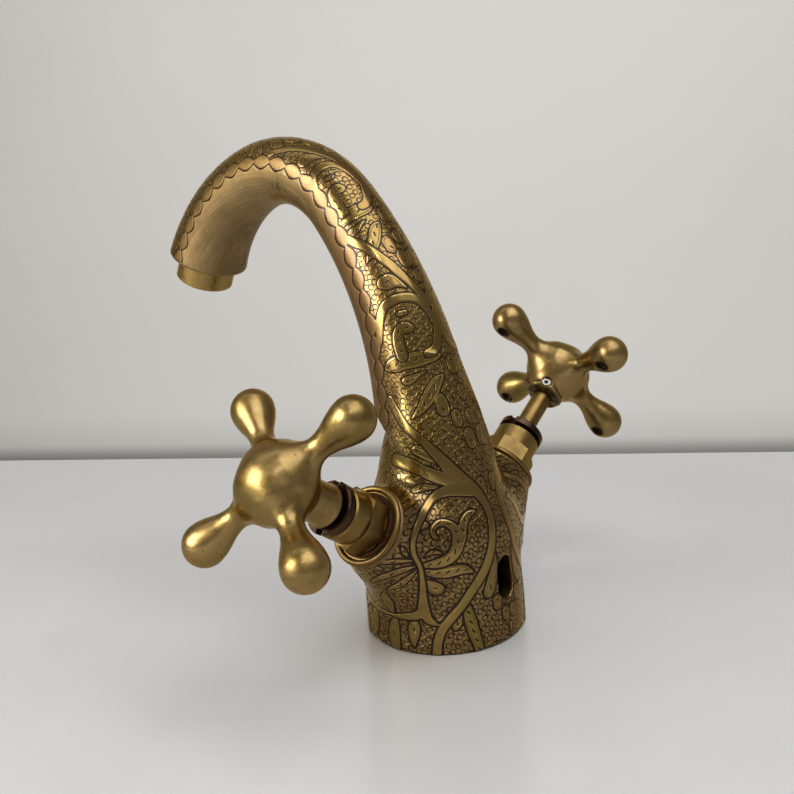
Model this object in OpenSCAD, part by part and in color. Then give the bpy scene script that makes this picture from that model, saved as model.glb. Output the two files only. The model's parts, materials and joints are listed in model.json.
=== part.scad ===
// Two-handle bathroom mixer faucet, single-hole deck type.
// +Z is up, the origin is the centre of the base underside, the spout points
// along -Y, the cold handle is on +X and the hot handle on -X.

/* [Base] */
// Outside diameter of the base
base_d = 50.4; // [46:0.2:56]
// Diameter of the narrowest part of the lower body
waist_d = 48.4; // [45:0.2:52]
// Diameter of the hollow under the body
recess_d = 41; // [38:0.5:42]
// Height of the hollow under the inlets
recess_h = 18; // [15:0.5:19]
// Height of the middle channel of the hollow
channel_h = 26; // [23:0.5:27]
// Width of the middle channel of the hollow
channel_w = 16; // [12:0.5:16]

/* [Supply and fixing] */
// Distance from the centre to each water inlet
inlet_x = 13.4; // [13:0.1:14]
// Wall diameter of each inlet thread, M10 x 1
inlet_d = 9.2; // [8.6:0.1:9.4]
// Wall diameter of the fixing stud thread, M8
stud_d = 6.8; // [6.4:0.1:8]
// Depth of the fixing stud thread
stud_len = 10; // [8:1:12]

/* [Pop-up rod slot] */
// Width of the slot in the back wall
slot_w = 7; // [5:0.5:8]
// Height of the slot in the back wall
slot_h = 13; // [9:0.5:13]
// Height of the middle of the slot
slot_z = 19.2; // [18:0.2:19.5]

/* [Ports] */
// Tilt of each valve axis above the horizontal
tilt = 34; // [32:1:36]
// Height at which both valve axes cross the centre line
cross_z = 18.7; // [18:0.1:20]
// Distance along the valve axis to the end of the port boss
port_end = 38.6; // [38.6:0.1:39]
// Radius of the boss at its outer end
port_r = 11.6; // [11:0.1:12.5]
// Radius of the boss at its root
root_r = 18.2; // [16:0.1:19]
// Radius of the threaded socket for the headwork
socket_r = 8.4; // [8.4:0.1:8.6]

/* [Spout] */
// Height where the spout stem starts
stem_z = 50; // [48:0.5:52]
// Forward offset of the spout stem
stem_y = -2.8; // [-4:0.1:-2]
// Bend radius of the stem
stem_bend = 126; // [110:1:140]
// Angle turned by the stem
stem_turn = 40; // [36:1:44]
// Bend radius of the arch
arch_bend = 39; // [36:0.5:44]
// Angle turned by the arch
arch_turn = 69; // [64:1:72]
// Bend radius of the nose
nose_bend = 56; // [50:0.5:60]
// Angle turned by the nose
nose_turn = 44; // [38:1:46]
// Radius of the stem at its root
stem_r = 17.1; // [16:0.1:18]
// Smallest radius, at the top of the arch
arch_r = 11.15; // [10.5:0.05:12]
// Radius at the mouth of the spout
mouth_r = 14.5; // [14:0.1:15.5]
// Radius of the waterway through the spout
water_r = 6.2; // [5:0.1:6.5]

/* [Aerator] */
// Radius of the threaded seat in the mouth
aer_seat_r = 10.2; // [10:0.1:10.6]
// Length of collar showing under the mouth
aer_show = 8.4; // [6:0.2:9]
// Outside radius of the collar
aer_r = 10.5; // [10.2:0.1:11.6]

/* [Handles] */
// Distance along the valve axis to the arms when the valve is shut
arms_d = 77.4; // [77:0.2:80]
// Distance from the handle axis to the middle of each ball
ball_x = 26.8; // [24:0.2:30]
// Radius of the balls
ball_r = 6.2; // [5.5:0.1:6.6]
// Radius of the hub dome
hub_r = 10.6; // [10:0.1:11.5]
// Radius of the skirt that holds the spindle
skirt_r = 5.9; // [5.6:0.1:6.4]
// Length of the cold handle's skirt below its arms
cold_skirt = 19.9; // [16:0.1:19.9]
// Length of the hot handle's skirt below its arms
hot_skirt = 12.9; // [12:0.1:19.9]
// Radius of the drilled pit in the back of each ball
pit_r = 1.7; // [0.8:0.1:1.8]
// Turn of the cold handle at rest
cold_phase = 47.8; // [0:0.1:90]
// Turn of the hot handle at rest
hot_phase = 66.3; // [0:0.1:90]

/* [Headworks] */
// Radius of the spindle rod
rod_r = 3.4; // [3.2:0.05:3.6]
// Radius of the spindle's end inside the handle
tip_r = 2.8; // [2.4:0.05:3]
// Height of the grub screw below the arms
grub_drop = 10.6; // [8:0.2:10.8]
// Turn of the grub screw from the nearest arm
grub_turn = -42; // [-45:1:0]
// Travel of the spindle from shut to fully open
travel = 9; // [6:0.5:9]
// Size of the bonnet hexagon across its flats
hex_af = 16; // [15:0.5:16.5]
// Radius of the round part of the bonnet
bonnet_r = 7.7; // [7.2:0.1:8.2]

/* [Hidden] */
$fn = 48;
brass = [0.55, 0.45, 0.22];
bright = [0.72, 0.60, 0.32];
rubber = [0.12, 0.12, 0.12];
fibre = [0.45, 0.20, 0.15];
white = [0.85, 0.85, 0.82];
steel = [0.62, 0.62, 0.64];
eps = 0.04;
cold_lift = 0;
hot_lift = travel;
stem_len = stem_bend * stem_turn * PI / 180;
arch_len = arch_bend * arch_turn * PI / 180;
nose_len = nose_bend * nose_turn * PI / 180;
spout_len = stem_len + arch_len + nose_len;
thin_at = 114;
bands = 18;

// A point [y, z] and heading h on an arc of radius b that starts at [y, z, h].
function arc_to(a, b, t) = [
    a[0] - b * (sin(a[2]) - sin(a[2] - t)),
    a[1] + b * (cos(a[2] - t) - cos(a[2])),
    a[2] - t];
stem_0 = [stem_y, stem_z, 90];
arch_0 = arc_to(stem_0, stem_bend, stem_turn);
nose_0 = arc_to(arch_0, arch_bend, arch_turn);
mouth = arc_to(nose_0, nose_bend, nose_turn);
// Point and heading at a length s along the spout centre line.
function way(s) =
    s < stem_len ? arc_to(stem_0, stem_bend, s / stem_bend * 180 / PI) :
    s < stem_len + arch_len ? arc_to(arch_0, arch_bend, (s - stem_len) / arch_bend * 180 / PI) :
    arc_to(nose_0, nose_bend, (s - stem_len - arch_len) / nose_bend * 180 / PI);
// Outside radius at a length s: it narrows to the arch and swells to the mouth.
function girth(s) =
    s < thin_at ? arch_r + (stem_r - arch_r) * pow(1 - s / thin_at, 2) :
    arch_r + (mouth_r - arch_r) * pow((s - thin_at) / (spout_len - thin_at), 1.5);

// Places its child at a point p = [y, z, heading], with local Z along the heading.
module at(p) {
    translate([0, p[0], p[1]])
        rotate([90 - p[2], 0, 0])
            children();
}
// Places its child on a valve axis, side +1 for cold and -1 for hot.
module on_axis(side, lift) {
    translate([0, 0, cross_z])
        rotate([0, side * (90 - tilt), 0])
            translate([0, 0, lift])
                children();
}
module tube(r, hole, z0, z1) {
    difference() {
        translate([0, 0, z0])
            cylinder(r = r, h = z1 - z0);
        translate([0, 0, z0 - 1])
            cylinder(r = hole, h = z1 - z0 + 2);
    }
}
// One straight length between two points of the centre line, with a round joint.
module length_of(a, b, ra, rb, joint) {
    dy = b[0] - a[0];
    dz = b[1] - a[1];
    translate([0, a[0], a[1]])
        rotate([90 - atan2(dz, -dy), 0, 0])
            cylinder(r1 = ra, r2 = rb, h = norm([dy, dz]));
    if (joint)
        translate([0, a[0], a[1]])
            sphere(r = ra + eps);
}
module spout_outside() {
    difference() {
        for (i = [0 : bands - 1]) {
            s0 = spout_len * i / bands;
            s1 = spout_len * (i + 1) / bands;
            length_of(way(s0), way(s1), girth(s0), girth(s1), i > 0);
        }
        at(mouth)
            cylinder(r = 25, h = 20);
    }
    // rounded lip at the mouth
    at(mouth)
        translate([0, 0, -0.3])
            cylinder(r1 = mouth_r, r2 = mouth_r - 0.7, h = 0.7);
}
module waterway() {
    last = spout_len - 8;
    for (i = [0 : 11])
        length_of(way(last * i / 12), way(last * (i + 1) / 12), water_r, water_r, true);
    at(way(spout_len - 12))
        cylinder(r = water_r, h = 5);
    // threaded seat for the aerator
    at(mouth)
        translate([0, 0, -8.6])
            cylinder(r = aer_seat_r, h = 12);
}
module lower_body() {
    rotate_extrude()
        polygon([[0, 0], [base_d / 2 - 0.5, 0], [base_d / 2, 0.6], [base_d / 2, 4],
            [base_d / 2 - 0.3, 11], [waist_d / 2 + 0.1, 19], [waist_d / 2, 25],
            [waist_d / 2, 31], [waist_d / 2 - 0.6, 35], [waist_d / 2 - 1.9, 39.5],
            [waist_d / 2 - 3.8, 44], [waist_d / 2 - 5.4, 49], [waist_d / 2 - 6.5, 54],
            [waist_d / 2 - 8.2, 60], [waist_d / 2 - 10.5, 67], [waist_d / 2 - 14.8, 76], [0, 76]]);
}
module boss(side) {
    on_axis(side, 0) {
        translate([0, 0, 8])
            cylinder(r = root_r, h = 11.01);
        translate([0, 0, 19])
            cylinder(r1 = root_r, r2 = port_r, h = port_end - 19);
    }
}
module port_bores(side) {
    on_axis(side, 0) {
        translate([0, 0, 23])
            cylinder(r = socket_r, h = 30);
        translate([0, 0, 20.8])
            cylinder(r = 6.45, h = 5);
        translate([0, 0, 13.6])
            cylinder(r = 3.4, h = 8);
    }
    translate([side * inlet_x, 0, -1]) {
        cylinder(r = inlet_d / 2, h = 27);
        cylinder(r = 3.2, h = 30.2);
    }
    // drilled way from the valve chamber up to the spout
    translate([side * 22, 0, 34.6])
        rotate([0, -side * 56, 0])
            cylinder(r = 3, h = 27);
}

module body_casting() {
    color(brass)
        difference() {
            union() {
                lower_body();
                boss(1);
                boss(-1);
                spout_outside();
            }
            // hollow under the body
            translate([0, 0, -1])
                cylinder(d = recess_d, h = recess_h + 1);
            intersection() {
                translate([0, 0, recess_h - 1])
                    cylinder(d = recess_d - 2, h = channel_h - recess_h + 1);
                translate([-channel_w / 2, -30, recess_h - 2])
                    cube([channel_w, 60, 20]);
            }
            translate([0, 0, 1])
                cylinder(d = stud_d, h = channel_h - 1 + stud_len);
            port_bores(1);
            port_bores(-1);
            waterway();
            // slot for the lift rod, open through the back wall
            for (k = [-1, 1])
                translate([0, 10, slot_z + k * (slot_h - slot_w) / 2])
                    rotate([-90, 0, 0])
                        cylinder(d = slot_w, h = 20);
            translate([-slot_w / 2, 10, slot_z - (slot_h - slot_w) / 2])
                cube([slot_w, 20, slot_h - slot_w]);
            // groove for the base seal
            translate([0, 0, -1])
                difference() {
                    cylinder(r = 23.7, h = 2.7);
                    translate([0, 0, -1])
                        cylinder(r = 21.9, h = 5);
                }
        }
}
module base_seal() {
    color(rubber)
        translate([0, 0, 0.85])
            rotate_extrude()
                translate([22.8, 0])
                    circle(r = 0.8);
}
module aerator_collar() {
    color(bright)
        at(mouth)
            difference() {
                union() {
                    translate([0, 0, -6.4])
                        cylinder(r = aer_seat_r - 0.05, h = 7.2);
                    translate([0, 0, 0.45])
                        cylinder(r = aer_r, h = aer_show - 0.95);
                    translate([0, 0, aer_show - 0.5])
                        cylinder(r1 = aer_r, r2 = aer_r - 0.5, h = 0.5);
                }
                translate([0, 0, -7])
                    cylinder(r = 9.2, h = aer_show + 5.8);
                translate([0, 0, -2])
                    cylinder(r = 8.4, h = aer_show + 5);
            }
}
module aerator_insert() {
    color(white)
        at(mouth)
            difference() {
                translate([0, 0, -6])
                    cylinder(r = 9.1, h = aer_show + 4.6);
                // flow passages in rings
                translate([0, 0, -7])
                    cylinder(r = 0.9, h = aer_show + 7);
                for (ring = [1 : 2])
                    for (k = [0 : ring * 6 - 1])
                        rotate([0, 0, k * 60 / ring])
                            translate([ring * 3.1, 0, -7])
                                cylinder(r = 0.9, h = aer_show + 7, $fn = 16);
            }
}
module aerator_washer() {
    color(rubber)
        at(mouth)
            tube(10, 7.2, -8.5, -6.5);
}

module port_ring() {
    color(brass) {
        difference() {
            union() {
                translate([0, 0, port_end])
                    cylinder(r = 10.9, h = 1);
                translate([0, 0, port_end + 1])
                    rotate_extrude()
                        translate([10.9, 0])
                            circle(r = 0.95);
            }
            translate([0, 0, port_end - 1])
                cylinder(r = socket_r + 0.1, h = 4);
        }
    }
}
module bonnet() {
    color(bright)
        difference() {
            union() {
                translate([0, 0, 30])
                    cylinder(r = socket_r - 0.05, h = 11);
                intersection() {
                    translate([0, 0, 40.2])
                        rotate([0, 0, 12])
                            cylinder(d = hex_af / cos(30), h = 7.3, $fn = 6);
                    translate([0, 0, 40.2]) {
                        cylinder(r = 10, h = 6.3);
                        translate([0, 0, 6.29])
                            cylinder(r1 = 10, r2 = 8.2, h = 1.02);
                    }
                }
                translate([0, 0, 47])
                    cylinder(r = bonnet_r, h = 6);
                translate([0, 0, 53])
                    cylinder(r1 = bonnet_r, r2 = bonnet_r - 0.5, h = 0.5);
            }
            translate([0, 0, 29])
                cylinder(r = 5.6, h = 17.5);
            cylinder(r = 4, h = 60);
            translate([0, 0, 48.5])
                cylinder(r = 5.6, h = 10);
        }
}
module bonnet_gasket() {
    color(fibre)
        tube(9.5, socket_r + 0.05, port_end + 1.02, 40.18);
}
module gland_nut() {
    color(bright)
        difference() {
            union() {
                translate([0, 0, 50.9])
                    cylinder(r = 5.55, h = 4);
                translate([0, 0, 54.6])
                    cylinder(r = 7.8, h = 2);
                translate([0, 0, 56.6])
                    cylinder(r1 = 7.8, r2 = 7.4, h = 0.4);
            }
            translate([0, 0, 50])
                cylinder(r = rod_r + 0.08, h = 10);
            // spanner notches
            for (k = [0, 180])
                rotate([0, 0, k])
                    translate([6.2, -1.2, 54])
                        cube([3, 2.4, 5]);
        }
}
module gland_packing() {
    color(white)
        tube(5.55, rod_r + 0.05, 48.55, 50.85);
}
module spindle(shoulder) {
    color(bright)
        difference() {
            union() {
                translate([0, 0, 28.3])
                    cylinder(r = rod_r, h = shoulder - 28.6);
                translate([0, 0, shoulder - 0.31])
                    cylinder(r1 = rod_r, r2 = tip_r, h = 0.4);
                translate([0, 0, shoulder])
                    cylinder(r = tip_r, h = 73.6 - shoulder);
                translate([0, 0, 30])
                    cylinder(r = 5.5, h = 7);
                translate([0, 0, 73.6])
                    cylinder(r1 = tip_r, r2 = tip_r - 0.6, h = 0.6);
            }
            translate([0, 0, 20])
                cylinder(r = 2.05, h = 15);
        }
}
module jumper() {
    color(bright)
        difference() {
            union() {
                translate([0, 0, 26])
                    cylinder(r = 5, h = 2);
                translate([0, 0, 27.9])
                    cylinder(r = 2, h = 6.5);
            }
            translate([0, 0, 25])
                cylinder(r = 1.3, h = 5);
        }
}
module tap_washer() {
    color(rubber)
        tube(5, 1.6, 24.1, 25.98);
}
module jumper_screw() {
    color(steel)
        difference() {
            union() {
                translate([0, 0, 22.9])
                    cylinder(r = 2.4, h = 1.18);
                translate([0, 0, 24])
                    cylinder(r = 1.25, h = 5);
            }
            translate([-0.35, -3, 22.5])
                cube([0.7, 6, 1]);
        }
}
module valve_seat() {
    color(steel)
        difference() {
            union() {
                translate([0, 0, 20.85])
                    cylinder(r = 6.4, h = 2.15);
                translate([0, 0, 22.9])
                    cylinder(r1 = 5.4, r2 = 4.8, h = 1.1);
            }
            translate([0, 0, 20])
                cylinder(r = 3.4, h = 6);
        }
}
// Cross handle with its arms in the plane z = 0 and the skirt below.
module cross_handle(skirt) {
    color(brass)
        difference() {
            union() {
                translate([0, 0, 0.8])
                    sphere(r = hub_r);
                translate([0, 0, -10.4])
                    cylinder(r1 = skirt_r, r2 = 9.7, h = 8);
                translate([0, 0, 0.4 - skirt])
                    cylinder(r = skirt_r, h = skirt - 10.7);
                // rolled edge at the open end of the skirt
                translate([0, 0, -skirt])
                    cylinder(r1 = skirt_r - 0.3, r2 = skirt_r + 0.15, h = 0.5);
                translate([0, 0, 0.5 - skirt])
                    cylinder(r = skirt_r + 0.15, h = 1.4);
                for (k = [0 : 3])
                    rotate([0, 90, k * 90])
                        rotate_extrude()
                            intersection() {
                                union() {
                                    polygon([[0, 0], [5.6, 0], [5.6, 8.6], [4.4, 10.4],
                                        [3.7, 12.4], [3.4, 14.4], [3.5, 16.5], [4.1, 19],
                                        [5.1, 22], [5.9, 24.7], [0, 26]]);
                                    translate([0, ball_x])
                                        circle(r = ball_r);
                                }
                                square([20, 60]);
                            }
            }
            translate([0, 0, -skirt - 1])
                cylinder(r = tip_r + 0.05, h = skirt - 1.9);
            for (k = [0 : 3])
                rotate([0, 0, k * 90])
                    translate([ball_x - 0.6, 0, -ball_r - 1])
                        cylinder(r = pit_r, h = 3);
            rotate([0, 90, grub_turn])
                translate([grub_drop, 0, 0])
                    cylinder(r = 1.55, h = 14);
        }
}
module grub() {
    color(steel)
        rotate([0, 90, grub_turn])
            translate([grub_drop, 0, 0])
                difference() {
                    translate([0, 0, tip_r + 0.02])
                        cylinder(r = 1.5, h = 3.2);
                    translate([0, 0, 4.6])
                        cylinder(r = 0.8, h = 4, $fn = 6);
                }
}

module cold_port_ring() { on_axis(1, 0) port_ring(); }
module cold_bonnet() { on_axis(1, 0) bonnet(); }
module cold_bonnet_gasket() { on_axis(1, 0) bonnet_gasket(); }
module cold_gland_nut() { on_axis(1, 0) gland_nut(); }
module cold_gland_packing() { on_axis(1, 0) gland_packing(); }
module cold_spindle() { on_axis(1, cold_lift) spindle(57); }
module cold_jumper() { on_axis(1, cold_lift) jumper(); }
module cold_tap_washer() { on_axis(1, cold_lift) tap_washer(); }
module cold_jumper_screw() { on_axis(1, cold_lift) jumper_screw(); }
module cold_valve_seat() { on_axis(1, 0) valve_seat(); }
module cold_handle() {
    on_axis(1, arms_d + cold_lift)
        rotate([0, 0, cold_phase])
            cross_handle(cold_skirt);
}
module cold_grub_screw() { on_axis(1, arms_d + cold_lift) rotate([0, 0, cold_phase]) grub(); }
module hot_port_ring() { on_axis(-1, 0) port_ring(); }
module hot_bonnet() { on_axis(-1, 0) bonnet(); }
module hot_bonnet_gasket() { on_axis(-1, 0) bonnet_gasket(); }
module hot_gland_nut() { on_axis(-1, 0) gland_nut(); }
module hot_gland_packing() { on_axis(-1, 0) gland_packing(); }
module hot_spindle() { on_axis(-1, hot_lift) spindle(64); }
module hot_jumper() { on_axis(-1, hot_lift) jumper(); }
module hot_tap_washer() { on_axis(-1, hot_lift) tap_washer(); }
module hot_jumper_screw() { on_axis(-1, hot_lift) jumper_screw(); }
module hot_valve_seat() { on_axis(-1, 0) valve_seat(); }
module hot_handle() {
    on_axis(-1, arms_d + hot_lift)
        rotate([0, 0, hot_phase])
            cross_handle(hot_skirt);
}
module hot_grub_screw() { on_axis(-1, arms_d + hot_lift) rotate([0, 0, hot_phase]) grub(); }

body_casting();
base_seal();
aerator_collar();
aerator_insert();
aerator_washer();
cold_port_ring();
cold_bonnet();
cold_bonnet_gasket();
cold_gland_nut();
cold_gland_packing();
cold_spindle();
cold_jumper();
cold_tap_washer();
cold_jumper_screw();
cold_valve_seat();
cold_handle();
cold_grub_screw();
hot_port_ring();
hot_bonnet();
hot_bonnet_gasket();
hot_gland_nut();
hot_gland_packing();
hot_spindle();
hot_jumper();
hot_tap_washer();
hot_jumper_screw();
hot_valve_seat();
hot_handle();
hot_grub_screw();
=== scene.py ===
"""Antique brass basin mixer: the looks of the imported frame.

Shapes are worked out in millimetres, in the frame of the CAD, and turned into
metres when a mesh is made. The casting and the two handles are distance fields
that are meshed here; the small turned parts are the CAD nodes themselves.
"""
import json
from math import cos, pi, radians, sin, sqrt

import bpy
import numpy as np
from mathutils import Matrix, Vector


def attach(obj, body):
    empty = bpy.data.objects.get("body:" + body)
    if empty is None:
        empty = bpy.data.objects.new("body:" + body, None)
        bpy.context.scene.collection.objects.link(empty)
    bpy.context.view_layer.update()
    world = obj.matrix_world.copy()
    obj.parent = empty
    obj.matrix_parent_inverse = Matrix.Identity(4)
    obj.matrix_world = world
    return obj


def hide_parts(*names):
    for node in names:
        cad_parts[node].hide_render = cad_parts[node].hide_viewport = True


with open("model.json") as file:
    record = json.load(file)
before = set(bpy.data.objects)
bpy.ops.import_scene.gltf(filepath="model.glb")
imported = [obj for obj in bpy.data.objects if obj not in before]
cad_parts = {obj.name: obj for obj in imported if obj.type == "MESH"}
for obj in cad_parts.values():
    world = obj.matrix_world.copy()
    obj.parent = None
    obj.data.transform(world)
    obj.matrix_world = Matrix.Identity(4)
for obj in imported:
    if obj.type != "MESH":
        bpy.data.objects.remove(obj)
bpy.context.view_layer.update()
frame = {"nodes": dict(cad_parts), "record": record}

MM = 0.001
SIDES = {"cold": 1.0, "hot": -1.0}

# ---------------------------------------------------------------- dimensions
# Spout centre line: from (y, z, heading) along arcs of (bend radius, degrees).
STEM = (-2.8, 50.0, 90.0)
ARCS = ((126.0, 40.0), (39.0, 69.0), (56.0, 44.0))
SPOUT_LEN = sum(bend * radians(turn) for bend, turn in ARCS)
STEM_R, ARCH_R, MOUTH_R, THIN_AT = 17.1, 11.15, 14.5, 114.0

# Lower body: height and radius of its outline, smoothed into a curve.
OUTLINE_Z = (-5, 0, 4, 11, 19, 25, 31, 35, 39.5, 44, 49, 54, 60, 67, 76, 84)
OUTLINE_R = (25.2, 25.2, 25.2, 24.9, 24.3, 24.2, 24.2, 23.6, 22.3, 20.4, 18.8,
             17.7, 16.0, 13.7, 9.4, 5)

# Valve bosses: where the valve axes cross, their tilt, and lengths along an axis.
CROSS_Z, TILT = 18.7, radians(34)
ROOT_R, PORT_R, SOCKET_R = 18.2, 11.6, 8.4
BOSS_FROM, TAPER_FROM, SOCKET_FROM, PORT_END = 6.0, 19.0, 22.6, 38.6

# What is open in the casting: underside, inlets, stud, rod slot, seal groove, mouth.
RECESS_R, RECESS_H, CHANNEL_H, CHANNEL_W = 20.5, 18.0, 26.0, 16.0
INLET_X, INLET_R, INLET_TOP, STUD_R, STUD_TOP = 13.4, 4.6, 26.0, 3.4, 36.0
SLOT_W, SLOT_H, SLOT_Z, SLOT_FROM = 7.0, 13.0, 19.2, 15.0
GROOVE_R, GROOVE_W, GROOVE_H = 22.8, 1.8, 1.7
AERATOR_R, AERATOR_DEPTH = 10.2, 8.6

# Handles: arms' place along the axis when shut, the rise, and the cross itself.
ARMS_D, TRAVEL = 77.4, 9.0
BALL_X, BALL_R, HUB_R, SKIRT_R, TIP_R, BORE_TOP = 26.8, 6.2, 10.4, 5.9, 2.8, -2.9
PIT_X, PIT_R, PIT_TOP, GRUB_R, GRUB_DROP, GRUB_TURN = 26.2, 1.7, -4.2, 1.55, 10.6, -42
# Each handle's place along its axis, its turn in degrees, and its skirt's length.
HANDLES = {"cold": (ARMS_D, 47.8, 19.9), "hot": (ARMS_D + TRAVEL, 66.3, 12.9)}


# ------------------------------------------------------------ distance fields
def smooth_min(a, b, k):
    """The lower of two distances, with a fillet of about k."""
    h = np.clip(0.5 + 0.5 * (b - a) / k, 0, 1)
    return b * (1 - h) + a * h - k * h * (1 - h)


def smooth_max(a, b, k):
    """The higher of two distances, with its edge rounded by about k."""
    return -smooth_min(-a, -b, k)


def arc_to(p, bend, turn):
    """Where an arc from p = (y, z, heading) ends after some degrees."""
    h, t = radians(p[2]), radians(turn)
    return (p[0] - bend * (sin(h) - sin(h - t)), p[1] + bend * (cos(h - t) - cos(h)), p[2] - turn)


STARTS = [STEM]
for bend, turn in ARCS:
    STARTS.append(arc_to(STARTS[-1], bend, turn))
MOUTH = STARTS[-1]


def girth(s):
    """Outside radius of the spout at a length s."""
    s = np.clip(s, 0, SPOUT_LEN)
    stem = ARCH_R + (STEM_R - ARCH_R) * np.clip(1 - s / THIN_AT, 0, 1) ** 2
    return stem + (MOUTH_R - ARCH_R) * np.clip((s - THIN_AT) / (SPOUT_LEN - THIN_AT), 0, 1) ** 1.5


def centre_line(s):
    """y, z and heading (radians) at lengths s; it runs straight down below 0."""
    y = np.full(s.shape, STEM[0])
    z = STEM[1] + np.minimum(s, 0)
    h = np.full(s.shape, pi / 2)
    done = 0.0
    for (bend, turn), p in zip(ARCS, STARTS):
        here, h0 = s >= done, radians(p[2])
        q = (s - done) / bend
        if p is not STARTS[len(ARCS) - 1]:
            q = np.minimum(q, radians(turn))
        y = np.where(here, p[0] - bend * (sin(h0) - np.sin(h0 - q)), y)
        z = np.where(here, p[1] + bend * (np.cos(h0 - q) - cos(h0)), z)
        h = np.where(here, h0 - q, h)
        done += bend * radians(turn)
    return y, z, h


def along_spout(P):
    """Length along the centre line and distance from it."""
    y, z = P[:, 1], P[:, 2]
    S = np.minimum(z - STEM[1], 0)
    best = np.hypot(y - STEM[0], z - STEM[1] - S)
    done = 0.0
    for (bend, turn), p in zip(ARCS, STARTS):
        h = radians(p[2])
        cy, cz = p[0] - bend * sin(h), p[1] - bend * cos(h)
        first = np.arctan2(p[1] - cz, p[0] - cy)
        q = np.clip((np.arctan2(z - cz, y - cy) - first + pi) % (2 * pi) - pi, 0, radians(turn))
        d = np.hypot(y - cy - bend * np.cos(first + q), z - cz - bend * np.sin(first + q))
        closer = d < best - 1e-9
        best = np.where(closer, d, best)
        S = np.where(closer, done + q * bend, S)
        done += bend * radians(turn)
    return S, np.hypot(best, P[:, 0])


def flowing(at, radius, reach):
    """A turned outline with its corners evened out over a length of reach."""
    x = np.linspace(at[0], at[-1], 900)
    half = int(reach / (x[1] - x[0]))
    bell = np.exp(-np.linspace(-2.2, 2.2, 2 * half + 1) ** 2)
    r = np.convolve(np.pad(np.interp(x, at, radius), half, mode="edge"), bell / bell.sum(), mode="valid")
    return x, r, 1 / np.sqrt(1 + np.gradient(r, x) ** 2)


BODY_Z, BODY_R, BODY_LEAN = flowing(OUTLINE_Z, OUTLINE_R, 3.0)


def lower_body(P):
    """The turned body from the base up to inside the spout."""
    z, r = P[:, 2], np.hypot(P[:, 0], P[:, 1])
    side = (r - np.interp(z, BODY_Z, BODY_R)) * np.interp(z, BODY_Z, BODY_LEAN)
    return smooth_max(np.maximum(side, z - OUTLINE_Z[-1]), -z, 0.8)


def valve_frame(P):
    """Distance out along the nearer valve axis, and distance from that axis."""
    x, z = np.abs(P[:, 0]), P[:, 2] - CROSS_Z
    d = x * cos(TILT) + z * sin(TILT)
    return d, np.hypot(z * cos(TILT) - x * sin(TILT), P[:, 1])


def boss(P):
    """Both tapered bosses that hold the valves."""
    d, r = valve_frame(P)
    taper = (ROOT_R - PORT_R) / (PORT_END - TAPER_FROM)
    side = (r - ROOT_R + taper * np.clip(d - TAPER_FROM, 0, None)) / sqrt(1 + taper * taper)
    return smooth_max(smooth_max(side, d - PORT_END, 0.8), BOSS_FROM - d, 1.0)


def past_mouth(P):
    """Distance beyond the plane of the mouth."""
    h = radians(MOUTH[2])
    return (P[:, 1] - MOUTH[0]) * -cos(h) + (P[:, 2] - MOUTH[1]) * sin(h)


def spout(P):
    """The curved tube, from inside the body to the mouth."""
    s, d = along_spout(P)
    tube = smooth_max(d - girth(s), past_mouth(P), 1.2)
    return np.maximum(tube, 30 - P[:, 2])


def outside(P):
    """The casting's outer surface, with fillets where its forms meet."""
    return smooth_min(smooth_min(lower_body(P), spout(P), 5.0), boss(P), 5.0)


def hollows(P):
    """Everything that is cut out of the casting."""
    x, y, z = P.T
    r = np.hypot(x, y)
    recess = np.maximum(r - RECESS_R, z - RECESS_H)
    channel = np.maximum(np.maximum(r - RECESS_R + 1, np.abs(x) - CHANNEL_W / 2), z - CHANNEL_H)
    inlet = np.maximum(np.hypot(np.abs(x) - INLET_X, y) - INLET_R, z - INLET_TOP)
    stud = np.maximum(r - STUD_R, z - STUD_TOP)
    dz = np.clip(np.abs(z - SLOT_Z) - (SLOT_H - SLOT_W) / 2, 0, None)
    slot = np.maximum(np.hypot(x, dz) - SLOT_W / 2, SLOT_FROM - y)
    groove = np.maximum(np.abs(r - GROOVE_R) - GROOVE_W / 2, z - GROOVE_H)
    d, rv = valve_frame(P)
    socket = np.maximum(rv - SOCKET_R, SOCKET_FROM - d)
    s, rs = along_spout(P)
    seat = np.maximum(rs - AERATOR_R, -AERATOR_DEPTH - past_mouth(P))
    seat = np.where(s > SPOUT_LEN - 20, seat, 9.0)
    return np.minimum.reduce([recess, channel, inlet, stud, slot, groove, socket, seat])


def casting(P):
    """The whole casting, with its edges eased."""
    return smooth_max(outside(P), -hollows(P), 0.5)


# An arm's outline: distance from the handle's axis, and radius there.
ARM_U, ARM_R, ARM_LEAN = flowing(
    (0, 7.5, 9, 10.5, 12.4, 14.4, 16.5, 19, 22, 24, 25.4, BALL_X, 29),
    (6.6, 6.2, 5.2, 4.35, 3.7, 3.4, 3.45, 4.05, 5.2, 5.8, 6.1, BALL_R, BALL_R), 1.6)


def handle_cuts(P):
    """Pits under the balls, the bore for the spindle and the grub screw's hole."""
    x, y, z = P.T
    u, v = np.maximum(np.abs(x), np.abs(y)), np.minimum(np.abs(x), np.abs(y))
    flare = 0.25 * np.clip(-4.6 - z, 0, 1.5)
    pit = np.maximum(np.hypot(u - PIT_X, v) - PIT_R - flare, z - PIT_TOP)
    bore = np.maximum(np.hypot(x, y) - TIP_R - 0.05, z - BORE_TOP)
    a = radians(GRUB_TURN)
    across = np.hypot(z + GRUB_DROP, y * cos(a) - x * sin(a))
    grub = np.maximum(across - GRUB_R, -(x * cos(a) + y * sin(a)))
    return np.minimum.reduce([pit, bore, grub])


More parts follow.
